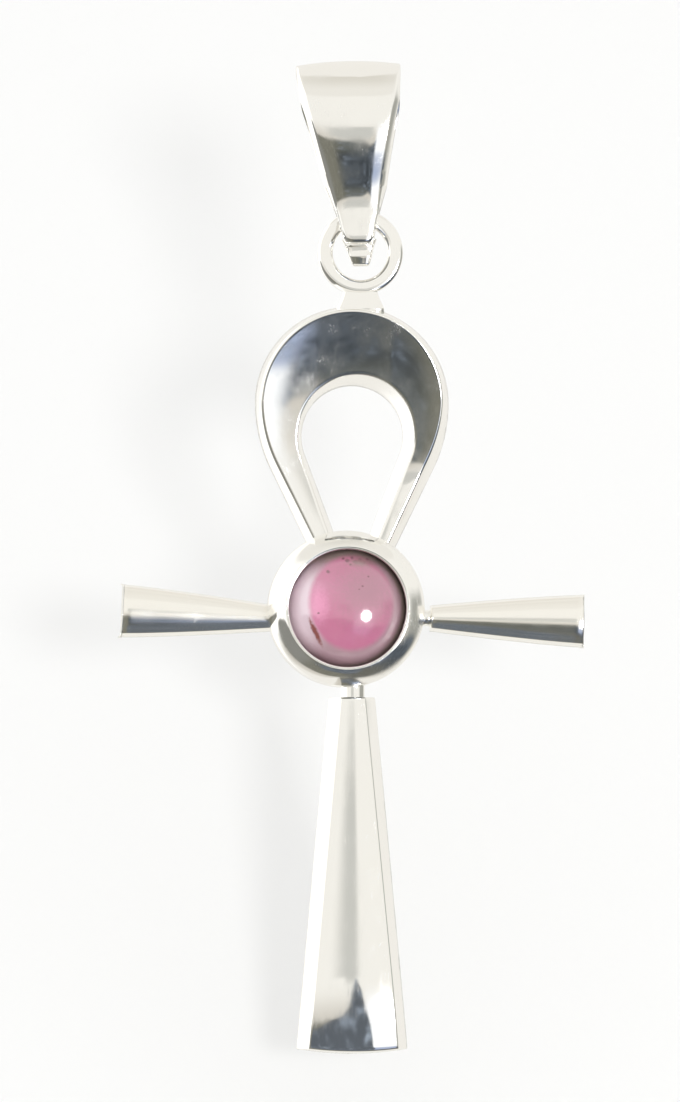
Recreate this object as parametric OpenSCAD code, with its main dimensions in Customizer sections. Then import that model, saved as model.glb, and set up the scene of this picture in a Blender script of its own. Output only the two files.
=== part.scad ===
// Ankh pendant with a round cabochon: a polished silver casting with a set stone,
// hanging by its soldered ring in a loose strap bail.
// Millimetres. +Z is up, the front faces -Y, and the origin is the inside of the
// bail's top, where the chain passes through along X.

/* [Bail] */
// Inside height of the bail, from the chain down to the ring's seat
bail_inner_h = 6.5; // [5.5:0.1:9]
// Inside depth of the bail at its top, front to back
bail_inner_depth = 4; // [3.2:0.1:4.6]
// Inside depth of the bail at its foot, round the ring's wire
foot_inner_depth = 2.2; // [2:0.05:2.4]
// Height of the squarish bend inside the bail's foot
bend_h = 0.75; // [0.6:0.05:1.1]
// Thickness of the bail's strap
strap_t = 0.6; // [0.4:0.05:0.9]
// Width of the strap's face at the top of the bail
bail_top_w = 4.3; // [3:0.1:6]
// Width of the strap's face under the ring
bail_foot_w = 1.2; // [1:0.05:1.3]
// How far the strap's sides lean in, from its inside to its face
bail_draft = 0.22; // [0.05:0.01:0.25]
// How far the middle of the strap stands above its edges
bail_crown = 0.16; // [0.05:0.01:0.3]
// Length of the tab where the strap's ends are joined, below the foot
tab_len = 0.75; // [0.4:0.05:0.9]
// Width of the tab's tip
tab_tip_w = 0.7; // [0.4:0.05:1]

/* [Ring] */
// Outer diameter of the soldered ring
ring_od = 3.5; // [3.3:0.1:4.5]
// Thickness of the ring's squared wire
wire_t = 0.62; // [0.5:0.02:0.7]
// Rounding of the wire's corners
wire_r = 0.15; // [0.05:0.01:0.2]
// Clearance under the wire inside the bail's foot
ring_play = 0.34; // [0.3:0.01:0.4]
// Height of the solder pad between the ring and the loop
pad_h = 0.4; // [0.1:0.05:0.6]

/* [Loop] */
// Width of the loop across its outside
loop_w = 8; // [7:0.1:10]
// Height of metal between the loop's top and its hole
loop_top_h = 3.3; // [2.5:0.1:4]
// Width of the loop's hole
hole_w = 4.14; // [3.2:0.1:5]
// Radius of the outside bend below the loop's widest place
loop_side_r = 6.2; // [5:0.1:8]
// Lean of the legs' outer sides from upright, in degrees
leg_outer_lean = 26; // [22:1:30]
// Lean of the legs' inner sides from upright, in degrees
leg_inner_lean = 20.5; // [17:0.5:24]
// Distance from the loop's widest place down to the stone's centre
loop_to_cup = 8.5; // [8:0.1:11]
// Thickness of the loop at its top
loop_top_depth = 3; // [1.8:0.1:3.2]
// How late the loop thickens towards its top; 1 is an even slope
loop_flare = 2.6; // [1:0.1:3]
// Rise of the loop's face above its edges, as a share of its width
loop_crown = 0.01; // [0:0.01:0.1]
// How far the loop's face rises from its inner to its outer edge, as a share of its width
loop_dish = 0.09; // [0:0.01:0.12]
// Length of the even slope down the loop's right side
ramp_len = 6.9; // [6:0.1:8]
// Thickness of the loop's legs where they meet the cup
loop_leg_depth = 1.3; // [0.9:0.05:1.35]

/* [Stone and cup] */
// Diameter of the round cabochon
stone_d = 5; // [4:0.1:6]
// Height of the stone's dome above its girdle
dome_h = 2; // [1.4:0.1:2.4]
// Height of the stone's upright girdle
girdle_h = 0.5; // [0.3:0.05:0.8]
// Overlap of the cup's lip over the stone's edge
lip_over = 0.1; // [0.06:0.01:0.2]
// Clearance between the stone and the cup
stone_gap = 0.05; // [0.03:0.01:0.08]
// Outer diameter of the cup
cup_d = 6.4; // [6.2:0.1:7.5]
// Height of the cup from the pendant's back to its lip
cup_h = 3; // [2.7:0.1:3.4]
// Thickness of metal behind the stone
cup_floor = 1.4; // [1.35:0.05:1.6]

/* [Arms] */
// Width of the pendant from arm tip to arm tip
arm_span = 19; // [16:0.5:24]
// Height of an arm's face beside the cup
arm_root_h = 0.85; // [0.7:0.05:1.2]
// Height of an arm's face at its tip
arm_tip_h = 1.95; // [1.5:0.05:2.6]
// How early an arm widens; 1 is a straight taper
arm_flare = 1.25; // [1:0.05:2]
// Thickness of an arm beside the cup
arm_root_depth = 1.1; // [0.8:0.05:1.3]
// Thickness of an arm at its tip
arm_tip_depth = 1.5; // [1.3:0.1:2.2]
// Rise of an arm's face above its edges, as a share of its width
arm_crown = 0.19; // [0.1:0.02:0.3]
// How far the arms' middle line lies below the stone's centre
arm_drop = 0.35; // [0:0.05:0.5]

/* [Shaft] */
// Length of the shaft's face
shaft_len = 14.3; // [11:0.1:20]
// Width of the shaft's face at its top
shaft_top_w = 1.05; // [0.8:0.05:1.4]
// Width of the shaft's face at its foot
shaft_foot_w = 3.7; // [2.6:0.1:4.6]
// Thickness of the shaft at its top
shaft_top_depth = 1.2; // [0.9:0.05:1.35]
// Thickness of the shaft near its foot
shaft_foot_depth = 2.2; // [1.6:0.1:2.6]
// Rise of the shaft's face above its edges, as a share of its width
shaft_crown = 0.08; // [0.02:0.01:0.15]
// How far the face rolls back at the foot
foot_roll = 0.6; // [0.1:0.05:0.8]
// Length of the shaft's foot over which the face rolls back
roll_len = 3; // [1:0.1:5]
// How far the foot's edge bows downwards in its middle
foot_bow = 0.2; // [0:0.05:0.4]
// Bare neck between the cup and the shaft
neck_len = 0.4; // [0.1:0.05:0.8]

/* [Casting walls] */
// How far the loop's walls lean in, from its back to its face
loop_draft = 0.32; // [0.2:0.02:0.45]
// How far the walls of the arms and of the shaft's foot lean in
arm_draft = 0.12; // [0.1:0.02:0.4]
// How far the shaft's walls lean in
shaft_draft = 0.45; // [0.2:0.05:0.6]
// Rounding between a wall and a face
edge_r = 0.12; // [0.05:0.01:0.18]
// Height of the solder necks that join the arms to the cup
neck_h = 0.66; // [0.4:0.02:0.8]

/* [Handmade offsets] */
// How much more the loop's walls lean on the right, and less on the left
loop_skew = 0.14; // [-0.15:0.01:0.15]
// Cup's place beside the middle line, left is negative
cup_shift = -0.3; // [-0.4:0.05:0.4]
// Ring's place beside the middle line
ring_shift = 0.3; // [-0.4:0.05:0.4]
// Place of the bail's foot beside the ring's middle, left is negative
bail_shift = -0.1; // [-0.1:0.02:0.1]
// Lean of the bail in the ring, its top to the left, in degrees
bail_lean = 1.2; // [0:0.25:5]
// How far the strap runs to the left for each mm upwards
bail_skew = 0.045; // [0:0.005:0.06]
// Turn of the bail on the ring about the upright, its back towards the right
bail_turn = 3; // [0:0.5:5]
// Rise of the left arm towards its tip, in degrees
left_rise = 2.75; // [-2:0.25:5]
// Rise of the right arm towards its tip, in degrees
right_rise = -1; // [-3:0.25:3]

/* [Hidden] */

silver = [0.86, 0.86, 0.84];
garnet = [0.72, 0.36, 0.52];

// Depth of the casting's flat back behind the ring's plane
back_y = 0.95;
// Heights of the main centres, from the chain down
hinge_z = -bail_inner_h + ring_play + wire_t / 2;
ring_r = (ring_od - wire_t) / 2;
ring_z = hinge_z - ring_r;
loop_top_z = ring_z - ring_od / 2 - pad_h;
loop_z = loop_top_z - loop_w / 2;
hole_z = loop_top_z - loop_top_h - hole_w / 2;
cup_z = loop_z - loop_to_cup;
arm_z = cup_z - arm_drop;
shaft_top_z = cup_z - cup_d / 2 - neck_len;

function lerp(a, b, t) = a + (b - a) * t;
function clamp01(t) = min(1, max(0, t));

// One slice of a cast bar as [across, forward] points: flat back, leaning walls,
// rounded edges and a crowned face. It starts and ends at the back corners.
// drafts says how far each wall leans in, the one on the low side of across first.
FACE_STEPS = 8;
function bar_slice(back_w, depth, drafts, crown, dish = 0) =
    let (
        half = back_w / 2,
        low = drafts[0] + edge_r - half,
        high = half - drafts[1] - edge_r,
        face = (high - low) / 2,
        wall = depth - edge_r,
        rim = wall + 2 * face * dish,
        round = 0.71 * edge_r
    ) [
        [-half, 0],
        [drafts[0] * wall / depth - half, wall],
        [low - round, wall + round],
        for (i = [0:FACE_STEPS])
            let (s = 2 * i / FACE_STEPS - 1)
            [(low + high) / 2 + s * face,
                depth + 2 * face * (crown * (1 - s * s) + dish * pow((1 + s) / 2, 2))],
        [high + round, rim + round],
        [half - drafts[1] * rim / depth, rim],
        [half, 0]
    ];

// A closed skin over a row of slices with equal numbers of points
module loft(slices) {
    m = len(slices[0]);
    n = len(slices);
    polyhedron(
        points = [for (s = slices) each s],
        faces = [
            for (i = [1:m - 2]) [0, i + 1, i],
            for (j = [0:n - 2], i = [0:m - 1])
                let (a = j * m + i, b = j * m + (i + 1) % m)
                each [[a, b, b + m], [a, b + m, a + m]],
            for (i = [1:m - 2]) [(n - 1) * m, (n - 1) * m + i, (n - 1) * m + i + 1]
        ]
    );
}

// Outer side of the loop's right half: straight leg, side bend, then the round top.
// leg runs 1 to 0 along the straight, turn runs 0 to 1 from the leg to the top.
// The legs end inside the cup, leg_end above its centre.
leg_end = 1.1;
leg_drop = loop_to_cup - leg_end;
function loop_outer(leg, turn) =
    let (
        a = lerp(-leg_outer_lean, 90, turn),
        r = a < 0 ? loop_side_r : loop_w / 2,
        bend = [loop_w / 2 - r + r * cos(a), loop_z + r * sin(a)],
        run = leg * (bend[1] - (loop_z - leg_drop))
    )
    [bend[0] - run * tan(leg_outer_lean), bend[1] - run];

// Inner side of the loop's right half, paired with the outer side
function loop_inner(leg, turn) =
    let (
        a = lerp(-leg_inner_lean, 90, turn),
        bend = [hole_w / 2 * cos(a), hole_z + hole_w / 2 * sin(a)],
        run = leg * (bend[1] - (loop_z - leg_drop))
    )
    [bend[0] - run * tan(leg_inner_lean), bend[1] - run];

// Thickness of the loop at a place: its face leans forward towards the top, in a curve
// on the left and in an even slope on the right
function loop_depth(x, z) =
    let (
        curved = pow(clamp01((z - cup_z) / (loop_top_z - cup_z)), loop_flare),
        even = clamp01(1 - (loop_top_z - z) / ramp_len)
    ) lerp(loop_leg_depth, loop_top_depth, lerp(curved, even, clamp01(0.5 + x / 3)));

// One slice across the loop; side is 1 on the right half and -1 on the left
function loop_slice(leg, turn, side) =
    let (
        outer = loop_outer(leg, turn),
        inner = loop_inner(leg, turn),
        width = norm(outer - inner),
        middle = (outer + inner) / 2,
        along = (outer - inner) / width,
        depth = loop_depth(side * middle[0], middle[1]),
        draft = loop_draft + side * loop_skew * 2 * middle[0] / loop_w
    )
    [for (p = bar_slice(width, depth, [draft, draft], loop_crown, loop_dish))
        let (x = side * (middle[0] + p[0] * along[0]), z = middle[1] + p[0] * along[1])
        [x, back_y - p[1] * loop_depth(x, z) / depth, z]];

TURN_STEPS = 18;
LEG_STEPS = 3;
module loop() {
    half = [
        for (i = [0:LEG_STEPS - 1]) [1 - i / LEG_STEPS, 0],
        for (i = [0:TURN_STEPS]) [0, i / TURN_STEPS]
    ];
    loft([
        for (h = half) loop_slice(h[0], h[1], -1),
        for (i = [len(half) - 2:-1:0]) loop_slice(half[i][0], half[i][1], 1)
    ]);
}

// Soldered ring at the loop's head, with the pad that carries it
module hanging_ring() {
    translate([ring_shift, 0, ring_z]) rotate([90, 0, 0])
        rotate_extrude($fn = 72) translate([ring_r, 0])
            offset(r = wire_r, $fn = 24) square(wire_t - 2 * wire_r, center = true);
    pad_w = 1.8;
    pad_sink = 0.35;
    translate([ring_shift, 0, loop_top_z]) rotate([90, 0, 0])
        linear_extrude(wire_t, center = true) polygon([
            [-pad_w / 2, -pad_sink], [pad_w / 2, -pad_sink],
            [pad_w * 0.42, pad_h + wire_t / 4], [-pad_w * 0.42, pad_h + wire_t / 4]
        ]);
}

// Half profile of the stone, girdle base on the axis, grown by a clearance
module stone_half(grow) {
    r = stone_d / 2;
    dome_r = (r * r + dome_h * dome_h) / (2 * dome_h);
    intersection() {
        translate([0, girdle_h + dome_h - dome_r]) circle(dome_r + grow, $fn = 96);
        translate([0, -grow]) square([r + grow, girdle_h + dome_h + 2 * grow]);
    }
}

// Places a turned piece with its foot on the casting's back and its axis forwards
module on_back(x, z) {
    translate([x, back_y, z]) rotate([90, 0, 0]) children();
}

// Cup that holds the stone: upright wall, rounded rim and a lip over the girdle
module cup() {
    r = cup_d / 2;
    lip_r = stone_d / 2 - lip_over;
    wall_h = cup_floor + girdle_h - 0.15;
    rim_w = r - lip_r;
    rim_h = cup_h - wall_h;
    rim_r = (rim_w * rim_w + rim_h * rim_h) / (2 * rim_w);
    on_back(cup_shift, cup_z) rotate_extrude($fn = 96) difference() {
        union() {
            square([r, wall_h]);
            intersection() {
                translate([r - rim_r, wall_h]) circle(rim_r, $fn = 96);
                square([r, cup_h]);
            }
        }
        translate([0, cup_floor]) stone_half(stone_gap);
        translate([0, cup_floor + girdle_h]) square([lip_r, cup_h]);
    }
}

// One arm pointing to +X, its root at the origin, and the neck that runs back into the cup
ARM_STEPS = 8;
arm_root_x = cup_d / 2;
module arm() {
    arm_len = arm_span / 2 - arm_root_x;
    loft([for (i = [0:ARM_STEPS])
        let (
            t = i / ARM_STEPS,
            face_h = lerp(arm_root_h, arm_tip_h, 1 - pow(1 - t, arm_flare)),
            depth = lerp(arm_root_depth, arm_tip_depth, t),
            lean = i == ARM_STEPS ? arm_draft : 0,
            x = t * arm_len
        )
        [for (p = bar_slice(face_h + 2 * arm_draft, depth, [arm_draft, arm_draft], arm_crown))
            [x - lean * p[1] / depth, back_y - p[1], p[0]]]]);
    translate([-arm_root_x, back_y - arm_root_depth / 2, 0]) rotate([0, 90, 0])
        cylinder(d = neck_h, h = arm_root_x + neck_h, $fn = 32);
}

// Places an arm with its root beside the cup, rising towards its tip by an angle
module place_arm(rise) {
    translate([arm_root_x, 0, arm_z]) rotate([0, -rise, 0]) arm();
}

// Shaft below the cup, widening and thickening down to its foot
SHAFT_STEPS = 14;
module shaft() {
    roll_from = 1 - roll_len / shaft_len;
    back_top_w = shaft_top_w + 2 * shaft_draft;
    back_foot_w = shaft_foot_w + 2 * shaft_draft;
    loft([for (i = [0:SHAFT_STEPS])
        let (
            t = i / SHAFT_STEPS,
            roll = pow(clamp01((t - roll_from) / (1 - roll_from)), 2),
            back_w = lerp(back_top_w, back_foot_w, t),
            depth = lerp(shaft_top_depth, shaft_foot_depth, t) - foot_roll * roll,
            at_foot = i == SHAFT_STEPS ? 1 : 0
        )
        [for (p = bar_slice(back_w, depth, [shaft_draft, shaft_draft], shaft_crown))
            let (
                bow = foot_bow * (1 - pow(2 * p[0] / back_w, 2)),
                foot_wall = arm_draft * (1 - p[1] / depth)
            )
            [p[0], back_y - p[1],
                shaft_top_z - t * shaft_len - at_foot * (bow + foot_wall)]]]);
    translate([0, back_y - shaft_top_depth / 2, shaft_top_z - neck_h])
        cylinder(d = shaft_top_depth - 2 * edge_r, h = cup_z - shaft_top_z + neck_h, $fn = 32);
}

// Inside line of the bail seen from the side, as [forward, up, way through to the outside].
// It is a half circle over the chain, two S-curved leaves and a squarish bend at the foot.
BEND_INSIDE = 4;
BEND_OUTSIDE = 7;
head_r = bail_inner_depth / 2;
foot_r = foot_inner_depth / 2;
leaf_h = bail_inner_h - head_r - bend_h;
bend_z = bend_h - bail_inner_h;
ARC_STEPS = 10;
LEAF_STEPS = 8;
function leaf_point(s, front) =
    let (tilt = atan((head_r - foot_r) * PI / 2 / leaf_h * sin(180 * s)))
    [front * (foot_r + (head_r - foot_r) * (1 + cos(180 * s)) / 2), -head_r - s * leaf_h,
        [front * cos(tilt), -sin(tilt)]];
function bend_point(a, r, h, power) =
    [sign(cos(a)) * r * pow(abs(cos(a)), 2 / power), bend_z - h * pow(sin(a), 2 / power)];
bail_line = [
    for (i = [0:2 * ARC_STEPS - 1]) let (a = 180 * i / (2 * ARC_STEPS))
        [-head_r * cos(a), -head_r + head_r * sin(a), [-cos(a), sin(a)]],
    for (i = [0:LEAF_STEPS - 1]) leaf_point(i / LEAF_STEPS, 1),
    for (i = [0:2 * ARC_STEPS])
        let (
            a = 180 * i / (2 * ARC_STEPS),
            inside = bend_point(a, foot_r, bend_h, BEND_INSIDE),
            outside = bend_point(a, foot_r + strap_t, bend_h + strap_t, BEND_OUTSIDE)
        ) [inside[0], inside[1], (outside - inside) / strap_t],
    for (i = [LEAF_STEPS - 1:-1:1]) leaf_point(i / LEAF_STEPS, -1)
];

// Width and middle of the strap's face at a height, and how far its sides lean in there.
// The lean fades out over the chain and where the foot turns inside the ring.
FADE_LEN = 1.2;
FADE_FOOT = 0.8;
function strap_w(z) =
    lerp(bail_foot_w, bail_top_w, (z + bail_inner_h + strap_t) / (bail_inner_h + 2 * strap_t));
function strap_x(z) = bail_skew * (hinge_z - z);
function strap_draft(z) =
    bail_draft * clamp01(-z / FADE_LEN) * clamp01((z + bail_inner_h - FADE_FOOT) / FADE_LEN);

// One slice of the strap: flat inside, crowned outside
STRAP_STEPS = 6;
function strap_slice(q) =
    let (
        half = strap_w(q[1] + strap_t * q[2][1]) / 2,
        draft = strap_draft(q[1]),
        middle = strap_x(q[1])
    ) [
        [middle + half + draft, q[0], q[1]],
        [middle - half - draft, q[0], q[1]],
        for (i = [0:STRAP_STEPS])
            let (s = 2 * i / STRAP_STEPS - 1, t = strap_t - bail_crown * s * s)
            [middle + s * half, q[0] + t * q[2][0], q[1] + t * q[2][1]]
    ];

// A skin over a closed round of slices
module closed_loft(slices) {
    m = len(slices[0]);
    n = len(slices);
    polyhedron(
        points = [for (s = slices) each s],
        faces = [for (j = [0:n - 1], i = [0:m - 1])
            let (a = j * m, b = (j + 1) % n * m, across = (i + 1) % m)
            each [[a + i, b + i, b + across], [a + i, b + across, a + across]]]
    );
}

// Loose strap bail, leaning in the ring about the ring's wire
module bail() color(silver) {
    tab_top = -bail_inner_h - strap_t / 2;
    tab_tip = -bail_inner_h - strap_t - tab_len;
    translate([ring_shift, 0, hinge_z])
    rotate([0, -bail_lean, -bail_turn])
    translate([bail_shift, 0, -hinge_z]) {
        closed_loft([for (q = bail_line) strap_slice(q)]);
        rotate([90, 0, 0]) linear_extrude(strap_t, center = true) polygon([
            [strap_x(tab_top) - bail_foot_w * 0.55, tab_top],
            [strap_x(tab_top) + bail_foot_w * 0.55, tab_top],
            [strap_x(tab_tip) + tab_tip_w / 2, tab_tip],
            [strap_x(tab_tip) - tab_tip_w / 2, tab_tip]
        ]);
    }
}

// The silver casting with everything soldered to it
module ankh() color(silver) {
    hanging_ring();
    loop();
    cup();
    place_arm(right_rise);
    mirror([1, 0, 0]) place_arm(left_rise);
    shaft();
}

// Round cabochon, seated in the cup
module cabochon() color(garnet) {
    on_back(cup_shift, cup_z) translate([0, 0, cup_floor])
        rotate_extrude($fn = 96) intersection() {
            stone_half(0);
            square([stone_d, stone_d]);
        }
}

bail();
ankh();
cabochon();
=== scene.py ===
import math

import bmesh
import bpy
from mathutils import Matrix, Vector


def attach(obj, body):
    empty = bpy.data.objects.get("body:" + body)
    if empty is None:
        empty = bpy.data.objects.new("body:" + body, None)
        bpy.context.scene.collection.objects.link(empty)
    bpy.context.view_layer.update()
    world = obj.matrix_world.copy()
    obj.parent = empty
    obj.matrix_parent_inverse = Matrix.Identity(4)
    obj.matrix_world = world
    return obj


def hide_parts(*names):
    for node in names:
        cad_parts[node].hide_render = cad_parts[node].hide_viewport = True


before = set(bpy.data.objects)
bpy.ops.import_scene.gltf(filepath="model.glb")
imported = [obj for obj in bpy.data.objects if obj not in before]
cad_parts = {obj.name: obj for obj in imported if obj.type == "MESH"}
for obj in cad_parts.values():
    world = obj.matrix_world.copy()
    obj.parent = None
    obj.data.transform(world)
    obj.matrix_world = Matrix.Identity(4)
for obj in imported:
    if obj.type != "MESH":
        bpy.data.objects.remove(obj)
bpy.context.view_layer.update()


# Bail: a strap of sterling silver bent into a long loop that the chain runs through. It was
# cast with sides that lean in towards the face, then buffed, which leaves softened edges,
# fine hairlines and a face that isn't quite flat. The drop's ring hangs loose in its foot.
# All lengths are in millimetres.
MM = 0.001
BAIL_INNER_H = 6.5
BAIL_HEAD_R = 2.0
BAIL_FOOT_R = 1.1
BEND_H = 0.75
STRAP_T = 0.6
STRAP_TOP_W = 4.3
STRAP_FOOT_W = 1.2
STRAP_DRAFT = 0.22
STRAP_CROWN = 0.16
STRAP_FADE = 1.2
STRAP_FADE_FOOT = 0.8
RING_T = 0.62
RING_PLAY = 0.34
RING_SHIFT = 0.3
BAIL_SHIFT = -0.1
BAIL_LEAN = math.radians(1.2)
BAIL_SKEW = 0.045
BAIL_TURN = math.radians(3.0)
BAIL_BUFF = 0.07
HEAD_STEPS = 48
LEAF_STEPS = 30
BEND_STEPS = 24
BEND_STEP_POWER = 0.6
BEND_INSIDE = 4
BEND_OUTSIDE = 11
CROWN_POWER_FOOT, CROWN_POWER_HEAD = 4.5, 2
FACE_HALF_STEPS = 16
INSIDE_HALF_STEPS = 14
HINGE_Z = RING_PLAY + RING_T / 2 - BAIL_INNER_H
SILVER = (0.97, 0.965, 0.95)
SILVER_WARM = (0.9, 0.84, 0.7)
BUFF_SEGMENTS = 3
WAVE_SCALE, PATCH_SCALE, WARM_SCALE = 480, 900, 350
HAIRLINE_SCALE = (16000, 9000, 1100)
HAIRLINE_PEAKS = (4.0, -2.3)
PATCH_PEAKS = (3.2, -1.35)
HAIRLINES_MORE_IN_PATCHES = (0.85, 0.15)
HAIRLINE_ROUGH, HAZE_ROUGH = 0.3, 0.14
HAIRLINE_DEPTH = 0.012
WARM_SHARE = 0.12
BUMP_H = 0.012


def lerp(a, b, t):
    """The value a share t of the way from a to b."""
    return a + (b - a) * t


def clamp01(t):
    """A share kept between nothing and all."""
    return min(1.0, max(0.0, t))


def lay_skin(name, rows, endless=False):
    """A piece skinned over rows of points: a grid is laid out and its points go to the rows.
    Each row runs once round the piece, first over its front and then over its back."""
    bpy.ops.object.select_all(action="DESELECT")
    around, along = len(rows[0]), len(rows)
    bpy.ops.mesh.primitive_grid_add(
        x_subdivisions=around, y_subdivisions=along if endless else along - 1, size=1
    )
    piece = bpy.context.object
    piece.name = piece.data.name = name
    columns = around + 1
    for i, vertex in enumerate(piece.data.vertices):
        vertex.co = Vector(rows[i // columns % along][i % columns % around]) * MM
    if not endless:
        mesh = bmesh.new()
        mesh.from_mesh(piece.data)
        mesh.verts.ensure_lookup_table()
        for start in (0, (along - 1) * columns):
            for i in range(around // 2):
                corners = [i, i + 1, around - i - 1, around - i]
                ring = [mesh.verts[start + c % around] for c in corners]
                mesh.faces.new(list(dict.fromkeys(ring)))
        mesh.to_mesh(piece.data)
        mesh.free()
    bpy.ops.object.mode_set(mode="EDIT")
    bpy.ops.mesh.select_all(action="SELECT")
    bpy.ops.mesh.remove_doubles(threshold=1e-8)
    bpy.ops.mesh.normals_make_consistent(inside=False)
    bpy.ops.object.mode_set(mode="OBJECT")
    return piece


def soften(piece, width, angle=40):
    """Buffs the edges sharper than an angle, and shades the faces smoothly between them."""
    bpy.ops.object.select_all(action="DESELECT")
    piece.select_set(True)
    bpy.context.view_layer.objects.active = piece
    if width:
        edges = piece.modifiers.new("buffed edges", "BEVEL")
        edges.width = width * MM
        edges.segments = BUFF_SEGMENTS
        edges.limit_method = "ANGLE"
        edges.angle_limit = math.radians(angle)
        edges.use_clamp_overlap = False
        bpy.ops.object.modifier_apply(modifier=edges.name)
    bpy.ops.object.shade_smooth()
    even = piece.modifiers.new("even shading", "WEIGHTED_NORMAL")
    even.weight = 60
    bpy.ops.object.modifier_apply(modifier=even.name)


def make_polish_group():
    """Hand polish on silver: long shallow waves, crossed hairlines and faint hazy patches. The
    roughness grows with the hairlines and the haze, and the warm colour comes in soft patches."""
    group = bpy.data.node_groups.new("hand polish", "ShaderNodeTree")
    for title, kind in (
        ("Place", "NodeSocketVector"), ("Silver", "NodeSocketColor"), ("Warm", "NodeSocketColor"),
        ("Waves", "NodeSocketFloat"), ("Hairlines", "NodeSocketFloat"), ("Haze", "NodeSocketFloat"),
        ("Buffing", "NodeSocketFloat"),
    ):
        group.interface.new_socket(name=title, in_out="INPUT", socket_type=kind)
    for title, kind in (
        ("Color", "NodeSocketColor"), ("Roughness", "NodeSocketFloat"),
        ("Height", "NodeSocketFloat"),
    ):
        group.interface.new_socket(name=title, in_out="OUTPUT", socket_type=kind)
    new, link = group.nodes.new, group.links.new
    given, result = new("NodeGroupInput"), new("NodeGroupOutput")

    def maths(kind, a, b=None, c=None, clamp=False):
        node = new("ShaderNodeMath")
        node.operation, node.use_clamp = kind, clamp
        for socket, value in zip(node.inputs, (a, b, c)):
            if isinstance(value, (int, float)):
                socket.default_value = value
            elif value is not None:
                link(value, socket)
        return node.outputs[0]

    def noise(scale, detail, turn=(0, 0, 0), stretch=(1, 1, 1), shift=(0, 0, 0)):
        place = new("ShaderNodeMapping")
        link(given.outputs["Place"], place.inputs["Vector"])
        place.inputs["Rotation"].default_value = turn
        place.inputs["Scale"].default_value = [scale * s for s in stretch]
        place.inputs["Location"].default_value = shift
        texture = new("ShaderNodeTexNoise")
        link(place.outputs[0], texture.inputs["Vector"])
        texture.inputs["Scale"].default_value = 1
        texture.inputs["Detail"].default_value = detail
        return texture.outputs["Fac"]

    waves = noise(WAVE_SCALE, 1.0)
    # Each set of hairlines is a noise drawn out along one way, of which only the peaks are kept
    lines = 0.0
    for turn, shift in (((0.2, 0.7, 0), 3), ((-0.3, -0.8, 0.2), 11), ((0.1, 1.9, 0.4), 23)):
        streak = noise(1, 3.0, turn, HAIRLINE_SCALE, (shift, 0, 0))
        thin = maths("MULTIPLY_ADD", streak, *HAIRLINE_PEAKS, clamp=True)
        lines = maths("MAXIMUM", lines, thin)
    patches = noise(PATCH_SCALE, 4.0, shift=(7, 2, 5))
    patches = maths("MULTIPLY_ADD", patches, *PATCH_PEAKS, clamp=True)
    worn = maths("MULTIPLY_ADD", patches, *HAIRLINES_MORE_IN_PATCHES)
    lines = maths("MULTIPLY", lines, worn)
    hairlines = maths("MULTIPLY", lines, given.outputs["Hairlines"])
    haze = maths("MULTIPLY", patches, given.outputs["Haze"])
    rough = maths("ADD", maths("MULTIPLY", hairlines, HAIRLINE_ROUGH), given.outputs["Buffing"])
    rough = maths("ADD", rough, maths("MULTIPLY", haze, HAZE_ROUGH))
    link(rough, result.inputs["Roughness"])
    height = maths("MULTIPLY", waves, given.outputs["Waves"])
    height = maths("SUBTRACT", height, maths("MULTIPLY", hairlines, HAIRLINE_DEPTH))
    link(height, result.inputs["Height"])
    warmth = new("ShaderNodeMix")
    warmth.data_type = "RGBA"
    warm_share = maths("MULTIPLY", noise(WARM_SCALE, 2.0, shift=(1, 9, 4)), WARM_SHARE)
    link(warm_share, warmth.inputs["Factor"])
    link(given.outputs["Silver"], warmth.inputs["A"])
    link(given.outputs["Warm"], warmth.inputs["B"])
    link(warmth.outputs["Result"], result.inputs["Color"])
    return group


polish_group = make_polish_group()


def polished_silver(name, waves, haze, hairlines=1.0, buffing=0.05, silver=SILVER):
    """Buffed sterling silver: a bright metal with its own share of waves, hairlines and haze."""
    material = bpy.data.materials.new(name)
    material.use_nodes = True
    nodes, link = material.node_tree.nodes, material.node_tree.links.new
    shader = nodes["Principled BSDF"]
    shader.inputs["Metallic"].default_value = 1.0
    place = nodes.new("ShaderNodeTexCoord")
    polish = nodes.new("ShaderNodeGroup")
    polish.node_tree = polish_group
    link(place.outputs["Object"], polish.inputs["Place"])
    polish.inputs["Silver"].default_value = (*silver, 1)
    polish.inputs["Warm"].default_value = (*SILVER_WARM, 1)
    polish.inputs["Waves"].default_value = waves
    polish.inputs["Hairlines"].default_value = hairlines
    polish.inputs["Haze"].default_value = haze
    polish.inputs["Buffing"].default_value = buffing
    bump = nodes.new("ShaderNodeBump")
    bump.inputs["Strength"].default_value = 1.0
    bump.inputs["Distance"].default_value = BUMP_H * MM
    link(polish.outputs["Color"], shader.inputs["Base Color"])
    link(polish.outputs["Roughness"], shader.inputs["Roughness"])
    link(polish.outputs["Height"], bump.inputs["Height"])
    link(bump.outputs["Normal"], shader.inputs["Normal"])
    return material


def fix_piece(piece, body, node, material):
    """Gives a finished piece its material and its body, and hides the solid that it stands for."""
    piece.data.materials.clear()
    piece.data.materials.append(material)
    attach(piece, body)
    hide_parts(node)


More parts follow.
